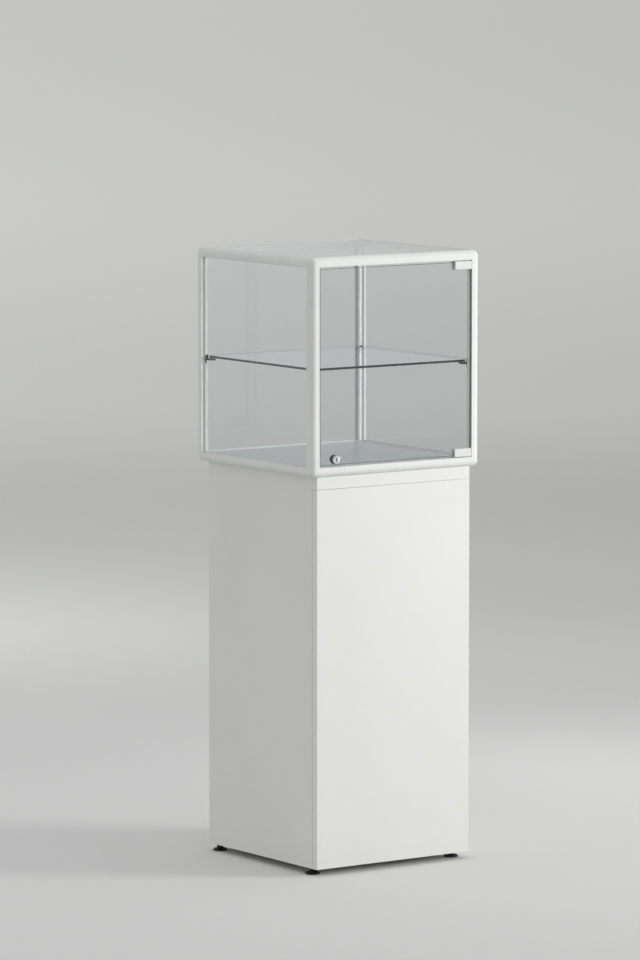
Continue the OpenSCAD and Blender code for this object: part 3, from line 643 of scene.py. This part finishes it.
OUT = HALF - PANE_BACK    # the two faces of a fixed pane
IN = OUT - GLASS
wide = OPEN + BITE
left = pane("glass_left", (-OUT, -wide, SILL - BITE), (-IN, wide, HEAD + BITE),
            flat=0, edge=cut_edge_painted_light)
glass_piece("pane_left", "base", left)
glass_piece("pane_right", "base", twin(left, "glass_right", FLIP_X))
rear = pane("glass_rear", (-wide, IN, SILL - BITE), (wide, OUT, HEAD + BITE),
            flat=1, edge=cut_edge_painted_light)
glass_piece("pane_rear", "base", rear)
roof = pane("glass_top", (-wide, -wide, TOP - TOP_STEP - GLASS), (wide, wide, TOP - TOP_STEP),
            flat=2, edge=cut_edge_painted_light)
glass_piece("pane_top", "base", roof)
shelf = pane("shelf_glass", (-SHELF_HALF, -SHELF_HALF, SHELF_Z - GLASS),
             (SHELF_HALF, SHELF_HALF, SHELF_Z), flat=2, edge=polished_edge)
glass_piece("glass_shelf", "shelf", shelf)

door = pane("door_sheet", (-DOOR_HALF, DOOR_Y - GLASS / 2, SILL + DOOR_GAP),
            (DOOR_HALF, DOOR_Y + GLASS / 2, HEAD - DOOR_GAP), flat=1, edge=polished_edge)
reach = GLASS + PAST
cut(door, rod("bore", (LOCK_X, DOOR_Y - reach, LOCK_Z), (0, 1, 0), BARREL_R, 2 * reach))
glass_piece("door_glass", "glass_door", door)


# ---------- plinth ----------

def panel(name, node, body, low, high):
    """A lacquered board in the place of a packed one."""
    piece = soften(block(name, low, high), BOARD_EDGE)
    return stand_for(wear(piece, lacquer_white), body, "board_white", node)


def bore(name, piece, start, radius, depth):
    """An upright hole for a pin of the plinth door."""
    cut(piece, rod(name, (DOOR_PIN[0], DOOR_PIN[1], start), (0, 0, 1), radius, depth))


panel("plinth_side_left_board", "plinth_side_left", "base",
      (-SIDE, CARCASS, FOOT + BOARD), (-SIDE + BOARD, SIDE, CASE_Z))
panel("plinth_side_right_board", "plinth_side_right", "base",
      (SIDE - BOARD, CARCASS, FOOT + BOARD), (SIDE, SIDE, CASE_Z))
panel("plinth_back_board", "plinth_back", "base",
      (-SIDE + BOARD, SIDE - BOARD, FOOT + BOARD), (SIDE - BOARD, SIDE, CASE_Z - BOARD))
panel("plinth_top_board", "plinth_top", "base",
      (-SIDE + BOARD, CARCASS, CASE_Z - BOARD), (SIDE - BOARD, SIDE, CASE_Z))
strip = panel("plinth_strip_board", "plinth_strip", "base",
              (-SIDE, PLINTH_FRONT, STRIP_Z), (SIDE, CARCASS, CASE_Z))

# The plinth door, its pins' bores and the recess over the plate that carries the lower pin.
front_board = panel("plinth_door_board", "plinth_door", "plinth_door",
                    (-SIDE, PLINTH_FRONT, FOOT), (SIDE, PLINTH_FRONT + BOARD, DOOR_TOP))
bore("strip_bore", strip, STRIP_Z - PAST, PIN_R + PIN_PLAY, PIN_UP + PAST)
bore("upper_bore", front_board, DOOR_TOP - PIN_SEAT, PIN_R, PIN_SEAT + 2 * PAST)
bore("lower_bore", front_board, FOOT - PAST, PIN_R + PIN_PLAY, PIN_LOW + PAST)
cut(front_board, block("plate_recess", (PLATE_X, PLATE_Y[0], FOOT - PAST),
                       (SIDE + PAST, PLATE_Y[1], FOOT + PLATE_T)))

# ---------- lock plug, with its keyway as wide and tall as it is seen in the rosette ----------

plug_y = DOOR_Y - GLASS / 2 - ROSETTE   # its front, level with the rosette's
plug_end = plug_y + PLUG_L
plug = soften(rod("lock_plug_drum", (LOCK_X, plug_y, LOCK_Z), (0, 1, 0), PLUG_R, PLUG_L),
              PLUG_EDGE)
cut(plug, block("keyway", (LOCK_X - KEY_W / 2, plug_y - PAST, LOCK_Z - KEY_H / 2),
                (LOCK_X + KEY_W / 2, plug_y + KEY_DEEP, LOCK_Z + KEY_H / 2)))
shank = block("shank", (LOCK_X - SQUARE / 2, plug_end - PAST / 2, LOCK_Z - SQUARE / 2),
              (LOCK_X + SQUARE / 2, plug_end + CAM_T, LOCK_Z + SQUARE / 2))
for part in (plug, shank):
    cut(part, rod("screw_hole", (LOCK_X, plug_end + CAM_T - SCREW_DEEP, LOCK_Z), (0, 1, 0),
                  SCREW_R, SCREW_DEEP + PAST))
plug = weld(join("lock_plug_drum", [plug, shank]))
stand_for(wear(plug, chrome), "lock", "lock_chrome", "lock_plug")

# ---------- the solids that keep their shape ----------

carried = {
    "seal_left": gasket, "seal_right": gasket, "seal_rear": gasket, "seal_top": gasket,
    "case_floor": melamine_grey,
    "hinge_clamp_upper": clamp_paint, "hinge_clamp_lower": clamp_paint, "hinge_pads": gasket,
    "hinge_grub_screws": steel, "hinge_pins": steel, "hinge_bushes": acetal,
    "lock_housing": chrome, "lock_nut": black_oxide,
    "lock_cam": steel, "lock_cam_screw": steel, "door_stops": silicone,
    "shelf_supports": anodised, "shelf_pads": gasket, "shelf_support_screws": steel,
    "plinth_bottom": lacquer_white,
    "front_pivot_pin": steel, "front_pivot_plate": steel,
    "front_pivot_screws": steel, "latch_housing": abs_grey, "latch_plunger": abs_dark,
    "carcass_dowels": beech, "case_screws": steel, "foot_inserts": steel,
    "foot_front_left": nylon_black, "foot_front_right": nylon_black,
    "foot_rear_left": nylon_black, "foot_rear_right": nylon_black,
}
for node, material in carried.items():
    wear(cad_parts[node], material)


# ---------- room ----------

# The floor's sizes are in metres.
FLOOR_R = 300.0           # radius of the floor
MIDWAY = 8.0              # this distance lies halfway on the scale of distances
KEY_SIDE = (0.82, -0.57, 0.0)   # direction on the floor towards the key light
LEAN, LEAN_SWING = 0.08, 0.05   # how far out the tone leans over, and by how much
POOL = (1.16, 3.94, 0.0)  # middle of a pool of light, some 4 m behind the case at the left
POOL_R, POOL_GAIN = 1.9, 1.2    # its radius, and how much paler it is
# Tones of the far floor by their place on the scale of distances.
FAR_TONES = {0.25: "#c4c5c3", 0.38: "#b8b9b7", 0.47: "#b2b3b1", 0.58: "#bebfbd",
             0.75: "#c6c7c5", 0.90: "#c2c3c1"}


def studio_floor_paint(name, tone, bounce, near, far):
    """Pale floor: it takes light and shadow round the object and turns to an even tone far off.

    tone is its own colour, and bounce the one that the light it throws back has taken. near and
    far, in metres, are where the change to the even tone starts and ends.
    """
    material, tree = new_material(name)
    where = add(tree, "ShaderNodeTexCoord").outputs["Object"]
    away = add(tree, "ShaderNodeVectorMath", {"operation": "LENGTH"}, {0: where}).outputs["Value"]
    # The distance on a scale from 0 to 1 that gives the far floor less room.
    over = add(tree, "ShaderNodeMath", {"operation": "ADD", 1: MIDWAY}, {0: away})
    spread = add(tree, "ShaderNodeMath", {"operation": "DIVIDE"},
                 {0: away, 1: over.outputs["Value"]})
    ramp = add(tree, "ShaderNodeValToRGB", links={"Fac": spread.outputs["Value"]},
               stops=FAR_TONES)
    ramp.color_ramp.interpolation = "EASE"
    # The side away from the key light is a little paler than the side under it.
    side = add(tree, "ShaderNodeVectorMath", {"operation": "DOT_PRODUCT", 1: KEY_SIDE},
               {0: where})
    lean = add(tree, "ShaderNodeMath", {"operation": "DIVIDE"},
               {0: side.outputs["Value"], 1: over.outputs["Value"]})
    tilt = add(tree, "ShaderNodeMapRange",
               {"From Min": -LEAN, "From Max": LEAN,
                "To Min": 1.0 + LEAN_SWING, "To Max": 1.0 - LEAN_SWING},
               {"Value": lean.outputs["Value"]})
    # The pool of light is round and soft.
    pool = add(tree, "ShaderNodeVectorMath", {"operation": "DISTANCE", 1: POOL}, {0: where})
    glow = add(tree, "ShaderNodeMapRange",
               {"interpolation_type": "SMOOTHSTEP", "From Min": POOL_R, "From Max": 0.0,
                "To Min": 1.0, "To Max": POOL_GAIN},
               {"Value": pool.outputs["Value"]})
    strength = add(tree, "ShaderNodeMath", {"operation": "MULTIPLY"},
                   {0: tilt.outputs["Result"], 1: glow.outputs["Result"]})
    # It throws back less light than it shows, as a room does whose walls stay dark.
    shown = add(tree, "ShaderNodeBsdfDiffuse", {"Color": srgb(tone)})
    thrown = add(tree, "ShaderNodeBsdfDiffuse", {"Color": srgb(bounce)})
    path = add(tree, "ShaderNodeLightPath")
    body = add(tree, "ShaderNodeMixShader", links={
        "Fac": path.outputs["Is Diffuse Ray"], 1: shown.outputs["BSDF"],
        2: thrown.outputs["BSDF"]})
    even = add(tree, "ShaderNodeEmission", links={
        "Color": ramp.outputs["Color"], "Strength": strength.outputs["Value"]})
    fade = add(tree, "ShaderNodeMapRange",
               {"interpolation_type": "SMOOTHSTEP", "From Min": near, "From Max": far},
               {"Value": away})
    # Only the camera, mirrors and clear glass see the even tone.
    seen = add(tree, "ShaderNodeMath", {"operation": "MAXIMUM"},
               {0: path.outputs["Is Camera Ray"], 1: path.outputs["Is Glossy Ray"]})
    seen = add(tree, "ShaderNodeMath", {"operation": "MAXIMUM"},
               {0: seen.outputs["Value"], 1: path.outputs["Is Transmission Ray"]})
    share = add(tree, "ShaderNodeMath", {"operation": "MULTIPLY"},
                {0: seen.outputs["Value"], 1: fade.outputs["Result"]})
    mix = add(tree, "ShaderNodeMixShader", links={
        "Fac": share.outputs["Value"], 1: body.outputs["Shader"], 2: even.outputs["Emission"]})
    finish(tree, mix.outputs["Shader"])
    return material


start_clean()
bpy.ops.mesh.primitive_circle_add(vertices=96, radius=FLOOR_R, fill_type="NGON",
                                  location=(0, 0, 0))
floor = settle("studio_floor")
wear(floor, studio_floor_paint("pale_floor", tone="#e6e6e4", bounce="#c8c8c7", near=1.2, far=4.0))

# The air lights the room with one tone and is seen in another.
world = bpy.data.worlds.new("studio")
bpy.context.scene.world = world
world.use_nodes = True
sky = world.node_tree
sky.nodes.clear()
lit_air = add(sky, "ShaderNodeBackground", {"Color": srgb("#fbfcfd"), "Strength": 0.655})
seen_air = add(sky, "ShaderNodeBackground", {"Color": srgb("#c9cac9")})
path = add(sky, "ShaderNodeLightPath")
lights = add(sky, "ShaderNodeMath", {"operation": "MAXIMUM"},
             {0: path.outputs["Is Diffuse Ray"], 1: path.outputs["Is Shadow Ray"]})
both = add(sky, "ShaderNodeMixShader", links={
    "Fac": lights.outputs["Value"], 1: seen_air.outputs["Background"],
    2: lit_air.outputs["Background"]})
add(sky, "ShaderNodeOutputWorld", links={"Surface": both.outputs["Shader"]})


def stand(name, data, where, aim):
    """Puts a lamp or a camera at a place, turned to what it is aimed at, in millimetres."""
    body = bpy.data.objects.new(name, data)
    body.location = Vector(where) * MM
    look = Vector(aim) * MM - body.location
    body.rotation_euler = look.to_track_quat("-Z", "Y").to_euler()
    bpy.context.scene.collection.objects.link(body)
    return body


def lamp(name, where, aim, power, size, spread):
    """A soft box with its size in millimetres; spread is the angle that its grid lets through."""
    light = bpy.data.lights.new(name, "AREA")
    light.shape = "RECTANGLE"
    light.size, light.size_y = size[0] * MM, size[1] * MM
    light.energy = power
    light.spread = radians(spread)
    stand(name, light, where, aim)


lamp("key_softbox", (3900, -3300, 1550), (0, 0, 880), power=19.8, size=(1500, 1500), spread=60)
lamp("floor_pool", (1300, 700, 2500), (1300, 700, 0), power=0.6, size=(600, 600), spread=50)
lamp("left_fill", (-3400, 2200, 400), (-500, -100, 50), power=0.7, size=(1200, 600), spread=60)

# ---------- camera, at the photograph's place ----------

camera = bpy.data.cameras.new("camera")
camera.sensor_width = 36
camera.lens = 210.76
camera.clip_end = 400
bpy.context.scene.camera = stand("camera", camera, (-7127.7, -10121.0, 2208.0),
                                 (-30.97, 21.67, 839.2))
bpy.context.scene.view_settings.view_transform = "Standard"
